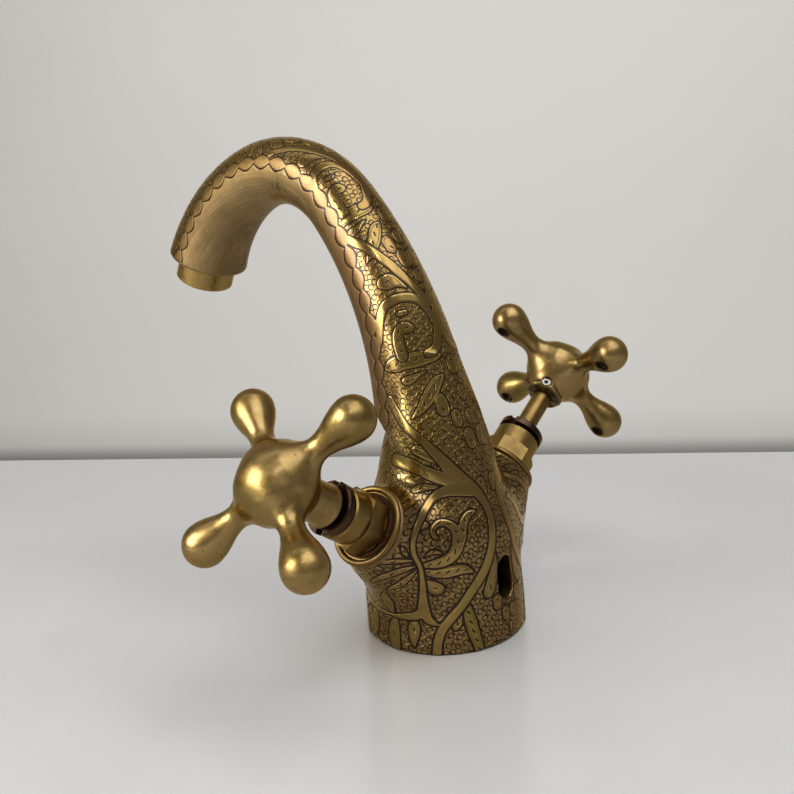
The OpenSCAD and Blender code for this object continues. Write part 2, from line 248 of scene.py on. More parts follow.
def handle(P, skirt, torn):
    """Cross handle with its arms in the plane z = 0 and its skirt below.

    torn is 0 for a clean end of the skirt, and 1 for the rough one.
    """
    x, y, z = P.T
    r = np.hypot(x, y)
    turn = np.arctan2(y, x)
    skirt = skirt + torn * (0.25 * np.sin(3 * turn + 0.6) + 0.12 * np.sin(8 * turn))
    dome = (np.sqrt(x * x + y * y + ((z - 0.4) / 0.97) ** 2) - HUB_R) * 0.97
    neck = np.interp(z, (-20, -10.4, -2.4, 0), (SKIRT_R, SKIRT_R, 9.6, 9.7))
    rolled = (0.35 + torn * (0.35 + 0.15 * np.sin(5 * turn + 2))) * np.exp(-(((z + skirt - 1.1) / 0.8) ** 2))
    back = np.maximum((r - neck - rolled) * 0.9, z)
    back = smooth_max(back, -skirt - z, 0.7)
    f = smooth_min(dome, back, 2.0)
    for u, v in ((np.abs(x), y), (np.abs(y), x)):
        rho = np.hypot(v, z)
        arm = (rho - np.interp(u, ARM_U, ARM_R)) * np.interp(u, ARM_U, ARM_LEAN)
        ball = np.sqrt((u - BALL_X) ** 2 + rho * rho) - BALL_R
        f = smooth_min(f, np.where(u < BALL_X, arm, ball), 4.4)
    return smooth_max(f, -handle_cuts(P), 0.35)


# -------------------------------------------------------------------- meshing
def sample(field, lo, hi, h, block=8):
    """The field on a grid of spacing h, worked out only near its surface."""
    n = [int(np.ceil((b - a) / h / block)) * block for a, b in zip(lo, hi)]
    values = np.empty(n, np.float32)
    m = [k // block for k in n]
    I = np.stack(np.meshgrid(*[np.arange(k) for k in m], indexing="ij"), -1).reshape(-1, 3)
    middle = np.array(lo) + (I * block + (block - 1) / 2) * h
    coarse = field(middle)
    values[:] = coarse.reshape(m).repeat(block, 0).repeat(block, 1).repeat(block, 2)
    near = np.abs(coarse) < block * h * 1.25
    o = np.stack(np.meshgrid(*[np.arange(block)] * 3, indexing="ij"), -1).reshape(-1, 3)
    for chunk in np.array_split(np.nonzero(near)[0], max(1, near.sum() // 1500)):
        at = (I[chunk, None, :] * block + o[None]).reshape(-1, 3)
        values[at[:, 0], at[:, 1], at[:, 2]] = field(np.array(lo) + at * h)
    return values


CORNERS = [(i, j, k) for i in (0, 1) for j in (0, 1) for k in (0, 1)]
EDGES = [(a, b) for a in CORNERS for b in CORNERS
         if a < b and sum(abs(p - q) for p, q in zip(a, b)) == 1]


def surface_net(values, lo, h):
    """Vertices and quads of the zero surface of a sampled field."""
    inside = values < 0
    size = [k - 1 for k in values.shape]

    def corner(array, c):
        return array[c[0]:c[0] + size[0], c[1]:c[1] + size[1], c[2]:c[2] + size[2]]

    count = sum(corner(inside, c).astype(np.uint8) for c in CORNERS)
    cells = np.argwhere((count > 0) & (count < 8))
    index = np.full(size, -1, np.int64)
    index[tuple(cells.T)] = np.arange(len(cells))
    total, hits = np.zeros((len(cells), 3)), np.zeros(len(cells))
    for a, b in EDGES:
        fa, fb = (values[tuple((cells + c).T)].astype(float) for c in (a, b))
        cut = (fa < 0) != (fb < 0)
        t = np.where(cut, fa / np.where(cut, fa - fb, 1), 0)[:, None]
        total += np.where(cut[:, None], np.array(a) + t * (np.array(b) - np.array(a)), 0)
        hits += cut
    vertices = np.array(lo) + (cells + total / hits[:, None]) * h
    quads = []
    for axis in range(3):
        u, v = (axis + 1) % 3, (axis + 2) % 3
        step = np.zeros(3, int)
        step[axis] = 1
        low = inside[tuple(slice(0, -1) if k == axis else slice(None) for k in range(3))]
        high = inside[tuple(slice(1, None) if k == axis else slice(None) for k in range(3))]
        at = np.argwhere(low != high)
        at = at[(at[:, u] > 0) & (at[:, v] > 0) & (at[:, u] < size[u]) & (at[:, v] < size[v])]
        flip = ~inside[tuple(at.T)]
        du, dv = np.eye(3, dtype=int)[u], np.eye(3, dtype=int)[v]
        ring = [index[tuple((at - a).T)] for a in (du + dv, dv, 0 * du, du)]
        quad = np.stack(ring, 1)
        quad[flip] = quad[flip][:, ::-1]
        quads.append(quad)
    return vertices, np.concatenate(quads)


def slope(field, P, e=0.15):
    """Unit normals of the field at the points."""
    g = np.stack([field(P + e * axis) - field(P - e * axis) for axis in np.eye(3)], 1)
    return g / np.maximum(np.linalg.norm(g, axis=1), 1e-9)[:, None]


def settle(field, P, quads, rounds=3):
    """Evens out the net and lays it on the surface."""
    for _ in range(rounds):
        total, count = np.zeros_like(P), np.zeros(len(P))
        for k in range(4):
            a, b = quads[:, k], quads[:, (k + 1) % 4]
            for i, j in ((a, b), (b, a)):
                for axis in range(3):
                    total[:, axis] += np.bincount(i, P[j, axis], len(P))
                count += np.bincount(i, minlength=len(P))
        P = P + 0.5 * (total / count[:, None] - P)
        N = slope(field, P)
        P = P - np.clip(field(P), -0.4, 0.4)[:, None] * N
    return P, slope(field, P)


def net_of(field, lo, hi, h):
    """Points, normals and quads of a field's zero surface."""
    vertices, quads = surface_net(sample(field, lo, hi, h), lo, h)
    P, N = settle(field, vertices, quads)
    return P, N, quads


def make_object(name, P, faces, attributes=()):
    """A smooth mesh object from millimetre points."""
    mesh = bpy.data.meshes.new(name)
    mesh.from_pydata([], [], [])
    mesh.vertices.add(len(P))
    mesh.vertices.foreach_set("co", (P * MM).astype(np.float32).ravel())
    mesh.loops.add(faces.size)
    mesh.loops.foreach_set("vertex_index", faces.astype(np.int32).ravel())
    mesh.polygons.add(len(faces))
    mesh.polygons.foreach_set("loop_start", np.arange(0, faces.size, faces.shape[1], dtype=np.int32))
    mesh.polygons.foreach_set("use_smooth", np.ones(len(faces), bool))
    mesh.update(calc_edges=True)
    mesh.validate()
    for label, values in attributes:
        layer = mesh.attributes.new(label, "FLOAT_VECTOR", "POINT")
        layer.data.foreach_set("vector", values.astype(np.float32).ravel())
    obj = bpy.data.objects.new(name, mesh)
    bpy.context.scene.collection.objects.link(obj)
    return obj


# ------------------------------------------------------------------ engraving
# A stroke is a list of (angle from the back, length up the body, half width):
# degrees, millimetres and millimetres. Straps lie over bands, bands over leaves.
STRAPS = (
    [(58, -51, 1.6), (56, -46, 1.6), (52, -42, 1.55), (45, -38.5, 1.5), (37, -35, 1.5), (30, -31.5, 1.6),
     (24, -28, 1.7), (19, -24.5, 1.7), (15.5, -20.5, 1.6), (13, -16, 1.5), (11, -11, 1.5), (12.5, -7, 1.6),
     (16, -4, 1.8), (22, -1, 2.1), (30, 2.2, 2.2), (40, 6.3, 1.8), (52, 10.5, 1.3), (61, 13, 1.3),
     (70, 15.4, 1.4), (80, 19.5, 1.4), (88, 23.5, 1.4)],
    [(22, -1.5, 1.8), (30, 0, 2.0), (40, 1.2, 2.0), (50, 2.4, 1.9), (60, 3.9, 1.9), (70, 5.0, 2.1),
     (86, 6, 2.0)],
    [(20, -3, 2.0), (32, -2.2, 1.8), (42, -2.5, 1.6), (50, -4, 1.4), (56.5, -7, 1.3), (60.8, -11.5, 1.15),
     (61.6, -16, 1.0), (59.8, -20.5, 0.9), (59.6, -23, 0.95), (60.2, -27, 1.15), (61.7, -32, 1.5),
     (63, -36, 2.1)],
    [(63, -36, 2.1), (61, -38.8, 1.6), (56, -40.3, 0.8), (52, -40.6, 0.3)],
    [(63, -36, 2.0), (67, -37.6, 1.7), (74, -38.4, 1.4), (82, -39, 1.0), (90, -39, 0.6)],
)
BANDS = (
    [(57.5, -20.6, 0.9), (51.7, -20.8, 1.5), (45, -20.4, 1.8), (40, -19, 2.0), (36.8, -16.9, 2.1),
     (35.6, -14.2, 2.0), (37.8, -11.9, 1.5), (42.5, -10.4, 1.25), (47.5, -10.1, 1.15), (51, -11.2, 1.0),
     (51.3, -12.7, 0.9), (49.6, -13.5, 0.8)],
    [(21, -8.7, 0.5), (26, -9.2, 1.2), (30, -11.3, 1.5), (32.5, -14.4, 1.5), (35.5, -17.8, 1.2)],
)
FEATHERS = (
    [(58.5, -22.6, 0.9), (51, -23.7, 1.7), (42.5, -24, 1.9), (34.5, -24.2, 1.6), (28.5, -25.6, 0.6)],
    [(34, -36, 1.4), (33, -39.5, 2.0), (31.3, -43.5, 2.0), (29, -48, 1.7), (28, -51, 1.6)],
)
LEAVES = (
    [(57.5, -26.5, 1.2), (54.5, -28, 2.1), (51.8, -29, 2.1)],
    [(69.5, -39.6, 0.7), (71.5, -42, 2.1), (72.5, -45, 1.6), (72.5, -48, 0.3)],
    [(39.5, -38.2, 0.8), (41.5, -40.2, 1.6), (43.3, -41.6, 1.1)],
    [(13, -22.5, 0.7), (14.5, -27, 1.6), (17.5, -31.3, 2.1), (19.7, -33.2, 1.8)],
    [(13.7, -36.2, 1.9), (14, -37.6, 1.8)],
    [(7, -40.6, 1.8), (7, -41.8, 1.7)],
    [(1, -45.4, 1.7), (1, -46.8, 1.6)],
    [(61, -18.6, 0.4), (70, -17.6, 0.9), (79, -17.6, 0.6)],
    [(62, -20.3, 0.5), (70, -21.3, 1.2), (79, -23.4, 1.1), (87, -26, 0.4)],
    [(62, -21.8, 0.5), (67, -24.2, 1.1), (73, -26.6, 1.2), (80, -28.3, 0.4)],
    [(64, -17, 0.3), (65.5, -15, 0.9), (66, -13.4, 0.3)],
    [(37, 3.4, 0.3), (45, 5.8, 1.0), (53, 7.5, 1.5), (60, 8.7, 1.7), (63, 9, 1.1)],
    [(41, -1.5, 0.3), (50, -0.9, 0.8), (58, -1.1, 1.3), (64, -1.5, 1.1)],
    [(55, -9.6, 1.1), (60, -9.9, 1.1)],
    [(46.5, -18.6, 0.3), (50, -17.5, 0.75), (53.5, -17.3, 0.75), (57, -18.1, 0.3)],
    [(10.5, -1.5, 1.9), (10, -3.6, 1.9)],
    [(11, 11, 2.2), (10, 9, 2.2)],
    [(18.5, 16.5, 1.9), (18.5, 14.8, 1.9)],
    [(29.5, 21, 2.2), (28.5, 18.6, 2.3)],
    [(3, 16, 1.9), (3, 14.6, 1.8)],
    [(84, -31, 1.2), (86, -34, 2.2), (86, -37, 1.4)],
    [(86, -41, 1.4), (88, -44.5, 2.4), (88, -50, 2.0)],
)
# One unit of the spout's pattern; it repeats up the spout every UNIT millimetres.
UNIT, UNITS = 46.5, 4
UNIT_STRAPS = (
    [(-6, 40, 1.4), (4, 41.2, 1.4), (10, 45.3, 1.5), (20, 49, 1.6), (32, 50.4, 1.6), (45, 50.8, 1.6),
     (58, 50.5, 1.6), (68, 49, 1.6), (78, 45.6, 1.6), (86, 41, 1.4)],
    [(3, 41, 1.5), (8.5, 38.4, 1.6), (14, 35.9, 1.6), (21, 34.3, 1.6), (28, 33.9, 1.5)],
    [(-8, 46.5, 1.3), (2, 47.2, 1.3), (10, 50, 1.5), (17, 53.2, 1.6), (26, 57.2, 1.6), (35, 61.2, 1.6),
     (45, 64.9, 1.5), (55, 68.6, 1.4), (64, 71, 1.5), (72, 73.3, 1.4), (84, 77, 1.3)],
)
UNIT_BANDS = (
    [(59.5, 35, 1.9), (60, 38.2, 1.9), (58, 41, 1.7), (52.5, 42.4, 1.7), (46, 42.4, 1.9), (40.5, 41.8, 1.5)],
)
UNIT_FEATHERS = (
    [(17, 32.8, 0.8), (25, 32.9, 2.0), (40, 33.0, 2.4), (60, 33.2, 2.5), (75, 33.1, 2.2), (84, 32.8, 0.9)],
    [(20, 27.2, 0.7), (28, 25.8, 1.9), (37, 23.3, 2.2), (47, 20.6, 1.8), (56, 18.6, 1.0), (63, 17.4, 0.3)],
)
UNIT_LEAVES = (
    [(26, 52.9, 0.4), (33, 54.6, 1.2), (40, 55.7, 2.0), (47, 56.3, 2.6), (52, 56.4, 2.3), (54.5, 56.3, 1.6)],
    [(35, 29.4, 0.3), (45, 28.8, 0.8), (54, 28.1, 1.3), (61, 27.9, 1.5), (64, 28.1, 0.9)],
    [(40, 46.4, 1.0), (48, 46.5, 1.0)],
    [(1, 56.5, 1.8), (1, 55, 1.8)], [(12, 62.3, 2.2), (11, 60.3, 2.2)], [(22, 67.4, 2.1), (21, 65.4, 2.1)],
    [(3, 30.5, 2.2), (4, 28.6, 2.0)], [(2, 22.6, 2.0), (2, 21, 1.9)],
)
# The border: the angle of its outer scallops at lengths up the body, and its size.
BORDER_S = (3, 6, 10, 16, 28, 60, 80, 110, 130, 150, 170)
BORDER_A = (200, 150, 122, 111, 111, 98, 91, 87, 87, 92, 100)
BORDER_W, LOBE, OUTER_LOBE, INNER_LOBE = 5.0, 7.2, 2.0, 1.7
# How deep the ground and the outlines are cut, and half an outline's width.
GROUND_CUT, LINE_CUT, LINE_W = 0.20, 0.26, 0.3
FAR = 3.0  # the value of a distance that is far from every stroke


def placed(strokes, lift=0.0, front=False):
    """Strokes moved up the body by lift, or turned round to its front."""
    out = []
    for stroke in strokes:
        t = np.array(stroke, float)
        t[:, 0] -= 3 * np.clip((30 - t[:, 0]) / 15, 0, 1)
        if front:
            t[:, 0] = 180 - t[:, 0]
        t[:, 1] += lift
        out.append(t)
    return out


def body_axis(s):
    """Origin of the cross section at a length s, and its direction to the back."""
    y, z, h = centre_line(s)
    y = np.where(s < 0, STEM[0] * np.clip(1 + s / 50, 0, 1), y)
    zero = np.zeros_like(y)
    return np.stack([zero, y, z], 1), np.stack([zero, np.sin(h), np.cos(h)], 1)


def on_surface(angle, s):
    """Points of the outer surface at an angle from the back and a length up."""
    O, back = body_axis(s)
    a = np.radians(angle)[:, None]
    D = back * np.cos(a) + np.array([[1.0, 0, 0]]) * np.sin(a)
    t = np.full(len(s), 9.0)
    for _ in range(45):
        t -= 0.8 * np.clip(outside(O + D * t[:, None]), -3, 3)
    return O + D * t[:, None]


def run_of(stroke, spacing=0.3):
    """A stroke as closely spaced points on the surface, with widths."""
    t = stroke
    n = len(t)
    k = np.linspace(0, n - 1, n * 12)
    i = np.clip(k.astype(int), 0, n - 2)
    f = (k - i)[:, None]
    p0, p1, p2, p3 = (t[np.clip(i + j, 0, n - 1)] for j in (-1, 0, 1, 2))
    c = 0.5 * (2 * p1 + (p2 - p0) * f + (2 * p0 - 5 * p1 + 4 * p2 - p3) * f ** 2
               + (3 * p1 - p0 - 3 * p2 + p3) * f ** 3)
    Q = on_surface(c[:, 0], c[:, 1])
    length = np.r_[0, np.cumsum(np.linalg.norm(np.diff(Q, axis=0), axis=1))]
    at = np.linspace(0, length[-1], max(4, int(length[-1] / spacing)))
    Q = np.stack([np.interp(at, length, Q[:, k]) for k in range(3)], 1)
    return Q, np.interp(at, length, np.maximum(c[:, 2], 0.25)), at


def engrave(P, N, strokes, single=False):
    """Signed distance to the strokes' outlines, and place along and across them.

    Along is from the start of a stroke, or from its widest place if single.
    """
    edge = np.full(len(P), FAR)
    place = np.zeros((len(P), 2))
    place[:, 1] = FAR
    for stroke in strokes:
        Q, w, at = run_of(stroke)
        at = at - at[w.argmax()] if single else at
        lo, hi = Q.min(0) - FAR, Q.max(0) + FAR
        near = np.nonzero(((P > lo) & (P < hi)).all(1))[0]
        if not len(near):
            continue
        p = P[near]
        d2 = ((p[:, None, :] - Q[None]) ** 2).sum(2)
        d = np.sqrt(d2) - w[None]
        j = d.argmin(1)
        best = d[np.arange(len(near)), j]
        T = np.gradient(Q, axis=0)
        T /= np.linalg.norm(T, axis=1)[:, None]
        off = p - Q[j]
        better = best < edge[near]
        k = near[better]
        edge[k] = best[better]
        place[k, 0] = (at[j] + (off * T[j]).sum(1))[better]
        place[k, 1] = (np.cross(T[j], off) * N[near]).sum(1)[better]
    return edge, place


def engraving(P, N):
    """The pattern as vertex values, on both sides of the casting alike.

    figure: distances to the outlines of straps, bands and leaves.
    detail: place along and across a band or leaf, and 1 in a single leaf.
    around: way round, way up, and how deep the cuts are.
    border: distances to its outer and inner scallops, and 1 where all is plain.
    """
    s, _ = along_spout(P)
    s = np.where(P[:, 2] < STEM[1], P[:, 2] - STEM[1], s)
    O, back = body_axis(s)
    angle = np.degrees(np.arctan2(np.abs(P[:, 0]), ((P - O) * back).sum(1)))
    mirror = np.where(P[:, 0] < 0, -1, 1)[:, None] ** np.array([1, 0, 0])
    half, half_n = P * mirror, N * mirror

    front_straps = [STRAPS[0][:10], STRAPS[2][3:], STRAPS[3], STRAPS[4]]
    straps = placed(STRAPS) + placed(front_straps, front=True)
    bands = placed(BANDS) + placed(BANDS, front=True)
    feathers = placed(FEATHERS) + placed(FEATHERS, front=True)
    leaves = placed(LEAVES) + placed(LEAVES[:10], front=True)
    for k in range(UNITS):
        straps += placed(UNIT_STRAPS, k * UNIT)
        bands += placed(UNIT_BANDS, k * UNIT)
        feathers += placed(UNIT_FEATHERS, k * UNIT)
        leaves += placed(UNIT_LEAVES, k * UNIT)
    S1, _ = engrave(half, half_n, straps)
    S2, at2 = engrave(half, half_n, bands)
    S3, at3 = engrave(half, half_n, feathers)
    S4, at4 = engrave(half, half_n, leaves, single=True)
    single = S4 < S3
    S3 = np.minimum(S3, S4)
    at3 = np.where(single[:, None], at4, at3)
    place = np.where((S2 < -0.1)[:, None], at2, at3)
    mid = np.where((S2 >= -0.1) & single, 1.0, 0.0)

    radius = np.where(s < 0, 25.0, girth(s))
    edge = np.radians(angle - np.interp(s, BORDER_S, BORDER_A)) * radius
    scallop = np.abs(np.sin(pi * s / LOBE))
    outer = edge - OUTER_LOBE * (scallop - 1)
    inner = edge + BORDER_W + INNER_LOBE * (scallop - 1)
    d, r = valve_frame(P)
    port_face = (d > PORT_END - 0.9) & (r < PORT_R + 1)
    mouth_face = (past_mouth(P) > -0.9) & (s > 150)
    plain = (outside(P) < -0.35) | port_face | mouth_face
    for S in (S1, S2, S3, outer, inner):
        S[plain] = FAR
    figure = np.stack([S1, S2, S3], 1)
    detail = np.stack([place[:, 0], place[:, 1], mid], 1)
    round_it = np.radians(angle) * np.where(s < 0, 24.5, girth(s))
    around = np.stack([round_it, s, np.clip((8 - s) / 24, 0, 1)], 1)
    border = np.stack([outer, inner, plain.astype(float)], 1)
    return figure, detail, around, border


def relief(figure, around, border):
    """How far the surface is cut down: the ground, and a groove at each outline."""
    S1, S2, S3 = figure.T
    outer, inner, plain = border.T
    deep = 0.35 + 0.65 * around[:, 2]
    lowest = np.minimum.reduce([S1, S2, S3])
    ground = np.clip(lowest / 0.45, 0, 1) * np.clip(-inner / 0.45, 0, 1)
    line = np.exp(-(S1 / LINE_W) ** 2)
    line = np.maximum(line, np.exp(-(S2 / LINE_W) ** 2) * (S1 > 0.25))
    line = np.maximum(line, np.exp(-(S3 / LINE_W) ** 2) * (np.minimum(S1, S2) > 0.25)) * (inner < 0)
    line = np.maximum(line, np.exp(-(inner / LINE_W) ** 2) * (S1 > 0.25))
    line = np.maximum(line, np.exp(-(outer / LINE_W) ** 2))
    return (1 - plain) * deep * np.maximum(GROUND_CUT * ground, LINE_CUT * line)


# ------------------------------------------------------------------ materials
class Nodes:
    """Short names for building a node tree."""

    def __init__(self, name):
        self.material = bpy.data.materials.new(name)
        self.material.use_nodes = True
        self.tree = self.material.node_tree
        self.shader = self.tree.nodes["Principled BSDF"]

    def add(self, kind, **settings):
        """A new node with the given settings."""
        node = self.tree.nodes.new(kind)
        for key, value in settings.items():
            setattr(node, key, value)
        return node

    def put(self, socket, value):
        """Links an output to the socket, or sets a plain value."""
        if isinstance(value, bpy.types.NodeSocket):
            self.tree.links.new(value, socket)
        else:
            socket.default_value = value

    def math(self, operation, a, b=0.0):
        """One step of arithmetic on one or two values."""
        node = self.add("ShaderNodeMath", operation=operation)
        for socket, value in zip(node.inputs, (a, b)):
            self.put(socket, value)
        return node.outputs[0]

    def ramp(self, value, low, high, to_low=0.0, to_high=1.0):
        """A smooth step from to_low to to_high as value goes from low to high."""
        node = self.add("ShaderNodeMapRange", interpolation_type="SMOOTHSTEP")
        for socket, v in zip(node.inputs, (value, low, high, to_low, to_high)):
            self.put(socket, v)
        return node.outputs[0]

    def mix(self, factor, a, b):
        """Colour a, turning into b as factor goes from 0 to 1."""
        node = self.add("ShaderNodeMix", data_type="RGBA")
        self.put(node.inputs[0], factor)
        self.put(node.inputs[6], a)
        self.put(node.inputs[7], b)
        return node.outputs[2]

    def most(self, *values):
        """The highest of the values."""
        out = values[0]
        for v in values[1:]:
            out = self.math("MAXIMUM", out, v)
        return out

    def times(self, *values):
        """The product of the values."""
        out = values[0]
        for v in values[1:]:
            out = self.math("MULTIPLY", out, v)
        return out

    def parts(self, label):
        """The three values of a vertex attribute."""
        node = self.add("ShaderNodeAttribute", attribute_name=label)
        split = self.add("ShaderNodeSeparateXYZ")
        self.put(split.inputs[0], node.outputs["Vector"])
        return split.outputs[0], split.outputs[1], split.outputs[2]

    def place(self):
        """The place on the object, in metres."""
        return self.add("ShaderNodeTexCoord").outputs["Object"]

    def noise(self, vector, scale, detail=3.0, rough=0.55, stretch=None):
        """Noise between 0 and 1, about 0.5; stretch scales its three axes."""
        if stretch:
            shape = self.add("ShaderNodeMapping")
            self.put(shape.inputs["Vector"], vector)
            shape.inputs["Scale"].default_value = stretch
            vector = shape.outputs[0]
        node = self.add("ShaderNodeTexNoise")
        self.put(node.inputs["Vector"], vector)
        node.inputs["Scale"].default_value = scale
        node.inputs["Detail"].default_value = detail
        node.inputs["Roughness"].default_value = rough
        return node.outputs[0]

    def bump(self, height, distance, under=None):
        """A normal from a height that stands for a distance in metres."""
        node = self.add("ShaderNodeBump")
        node.inputs["Strength"].default_value = 1.0
        node.inputs["Distance"].default_value = distance
        self.put(node.inputs["Height"], height)
        if under is not None:
            self.put(node.inputs["Normal"], under)
        return node.outputs[0]

    def finish(self, colour, roughness, metallic=1.0, normal=None, coat=0.0):
        """Sets the shader, and returns the material."""
        self.put(self.shader.inputs["Coat Weight"], coat)
        self.put(self.shader.inputs["Coat Roughness"], 0.2)
        self.put(self.shader.inputs["Base Color"], colour)
        self.put(self.shader.inputs["Roughness"], roughness)
        self.put(self.shader.inputs["Metallic"], metallic)
        if metallic:
            self.shader.inputs["Specular Tint"].default_value = GRAZING
        else:
            self.shader.inputs["Specular IOR Level"].default_value = DULL
        if normal is not None:
            self.put(self.shader.inputs["Normal"], normal)
        return self.material


# Linear colours. GRAZING tints metal seen at a low angle; DULL is a specular level.
GRAZING, DULL = (0.92, 0.72, 0.42, 1), 0.12
GOLD = (0.262, 0.163, 0.050, 1)
OLIVE = (0.182, 0.131, 0.024, 1)
RUSSET = (0.185, 0.098, 0.034, 1)
BROWN = (0.12, 0.062, 0.020, 1)
DARK = (0.018, 0.008, 0.003, 1)
BORDER_BROWN = (0.145, 0.085, 0.028, 1)
STEM_BROWN = (0.125, 0.066, 0.026, 1)
GROUND_BROWN = (0.235, 0.146, 0.046, 1)
BRUSHED = ((0.215, 0.142, 0.056, 1), (0.145, 0.092, 0.032, 1), (0.30, 0.208, 0.090, 1))
CAST = ((0.250, 0.163, 0.056, 1), (0.162, 0.108, 0.024, 1))
CAST_STREAK = (0.235, 0.128, 0.042, 1)
CAST_STAIN = (0.15, 0.076, 0.024, 1)


# Ring punches: cells in a millimetre, a ring's radius in cells, and their rows' turn.
PUNCH_SCALE, PUNCH_R, PUNCH_TURN = 0.46, 0.37, radians(30)
TICK_EVERY = 3.0  # millimetres between the ticks in a band


def ring_punches(n, uv, at, deep):
    """Rows of ring punches, each pressed deeper on one side."""
    rows = n.add("ShaderNodeMapping")
    n.put(rows.inputs["Vector"], uv)
    rows.inputs["Rotation"].default_value = (0, 0, PUNCH_TURN)
    cells = n.add("ShaderNodeTexVoronoi", voronoi_dimensions="2D", feature="F1")
    n.put(cells.inputs["Vector"], rows.outputs[0])
    cells.inputs["Scale"].default_value = PUNCH_SCALE
    cells.inputs["Randomness"].default_value = 0.30
    rim = n.math("ABSOLUTE", n.math("SUBTRACT", cells.outputs["Distance"], PUNCH_R))
    ring = n.ramp(n.math("SUBTRACT", rim, n.math("MULTIPLY", deep, 0.025)), 0.05, 0.11, 1.0, 0.0)
    side = n.add("ShaderNodeVectorMath", operation="SUBTRACT")
    n.put(side.inputs[0], rows.outputs[0])
    n.put(side.inputs[1], cells.outputs["Position"])
    lean = n.add("ShaderNodeVectorMath", operation="DOT_PRODUCT")
    n.put(lean.inputs[0], side.outputs[0])
    lean.inputs[1].default_value = (0.32, 0.947, 0.0)
    pressed = n.ramp(lean.outputs["Value"], -0.9, -0.1, 0.45, 1.0)
    worn = n.ramp(n.noise(at, 420.0, 1.0), 0.28, 0.40, 0.5, 1.0)
    return n.times(ring, worn, pressed)


def tick_marks(n, along, across, single):
    """Slanting ticks along a band, and one in the middle of a single leaf."""
    beat = n.math("SUBTRACT", n.math("FRACT", n.math("DIVIDE", along, TICK_EVERY)), 0.5)
    place = n.math("MULTIPLY", beat, TICK_EVERY)
    x = n.math("ADD", n.times(along, single), n.times(place, n.math("SUBTRACT", 1.0, single)))
    lx = n.math("ADD", n.times(x, 0.87), n.times(across, 0.5))
    ly = n.math("SUBTRACT", n.times(across, 0.87), n.times(x, 0.5))
    return n.times(n.ramp(n.math("ABSOLUTE", lx), 0.55, 0.85, 1.0, 0.0),
                   n.ramp(n.math("ABSOLUTE", ly), 0.16, 0.32, 1.0, 0.0))


